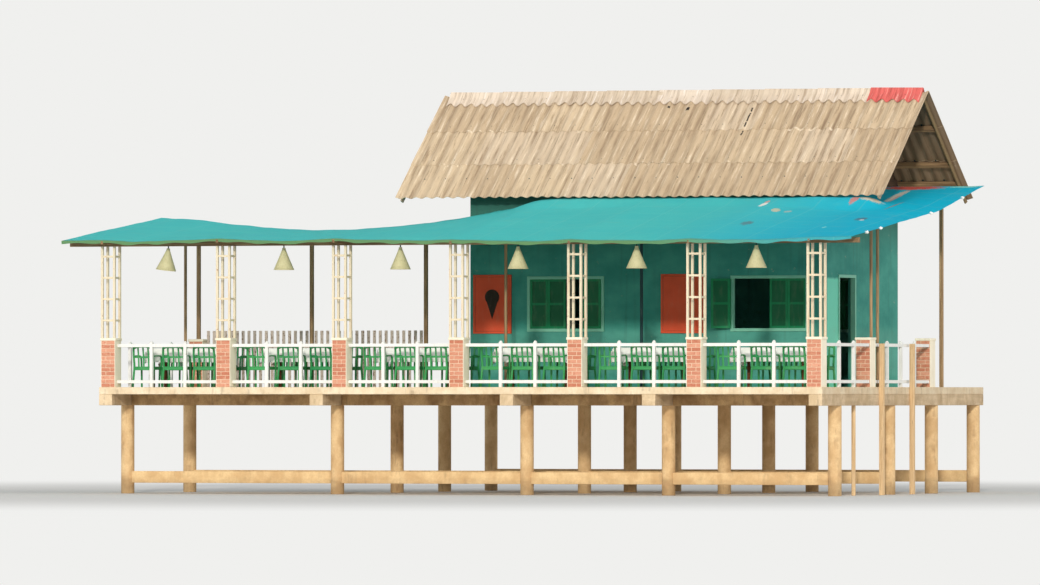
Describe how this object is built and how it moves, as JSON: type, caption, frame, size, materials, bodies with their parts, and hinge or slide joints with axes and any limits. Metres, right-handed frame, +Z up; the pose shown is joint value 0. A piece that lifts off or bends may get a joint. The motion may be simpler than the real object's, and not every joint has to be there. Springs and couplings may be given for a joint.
{
  "type": "stilt house",
  "caption": "Riverside house on round concrete stilts: railed terrace on a slab under a sheet canopy on lattice columns, with a gabled masonry room behind.",
  "frame": {"origin": "middle of the footprint's bounding box, at the level of the stilts' feet", "axes": "+X along the terrace to the end with the canopy's side wing, +Y from the railed front to the rear wall, +Z up"},
  "size_m": [16.36, 9.86, 7.9626],
  "materials": {
    "concrete": "weathered cast concrete",
    "slab_concrete": "weathered cast concrete",
    "brick": "painted brickwork with pale joints",
    "plaster": "limewashed render",
    "white_steel": "brushed white paint, worn",
    "white_wood": "white painted timber, worn",
    "timber": "weathered bare timber",
    "canopy": "woven plastic sheet, patched",
    "lamp": "pale enamel, dull",
    "dark_steel": "dark paint",
    "teal_wall": "limewashed render, stained",
    "gable_boards": "weathered boards",
    "window_paint": "pale teal paint",
    "leaf_green": "dark green paint",
    "red_board": "dull red paint",
    "plaque": "dark paint",
    "fibre_cement": "weathered corrugated fibre cement",
    "red_cap": "red paint on fibre cement, faded",
    "table_wood": "varnished timber",
    "cloth": "white cotton",
    "green_plastic": "moulded plastic, semi-gloss"
  },
  "bodies": {
    "root": {"front_stilts": "concrete", "rear_stilts": "concrete", "tie_beams": "concrete", "cross_beams": "slab_concrete", "long_beams": "concrete", "terrace_slab": "slab_concrete", "house_slab": "slab_concrete", "brick_piers": "brick", "pier_caps": "plaster", "lattice_columns": "white_steel", "front_railing": "white_wood", "side_railings": "white_wood", "picket_fence": "white_wood", "timber_posts": "timber", "canopy_front_beam": "timber", "canopy_rear_rail": "timber", "canopy_rafters": "timber", "canopy_posts": "timber", "dark_post": "dark_steel", "canopy_sheet": "canopy", "canopy_wing": "canopy", "lamp_shades": "lamp", "lamp_stems": "lamp", "front_wall": "teal_wall", "rear_wall": "teal_wall", "left_wall": "teal_wall", "right_wall_front": "teal_wall", "right_wall_rear": "teal_wall", "right_wall_head": "teal_wall", "gable_boards": "gable_boards", "door_frame": "window_paint", "window_frames": "window_paint", "window_leaves": "leaf_green", "red_panels": "red_board", "leaf_plaque": "plaque", "roof_front": "fibre_cement", "roof_rear": "fibre_cement", "ridge_caps": "fibre_cement", "red_ridge_caps": "red_cap", "barge_boards": "timber", "purlins": "timber", "roof_rafters": "timber", "tables": "table_wood", "tablecloths": "cloth", "chairs": "green_plastic"}
  },
  "joints": []
}
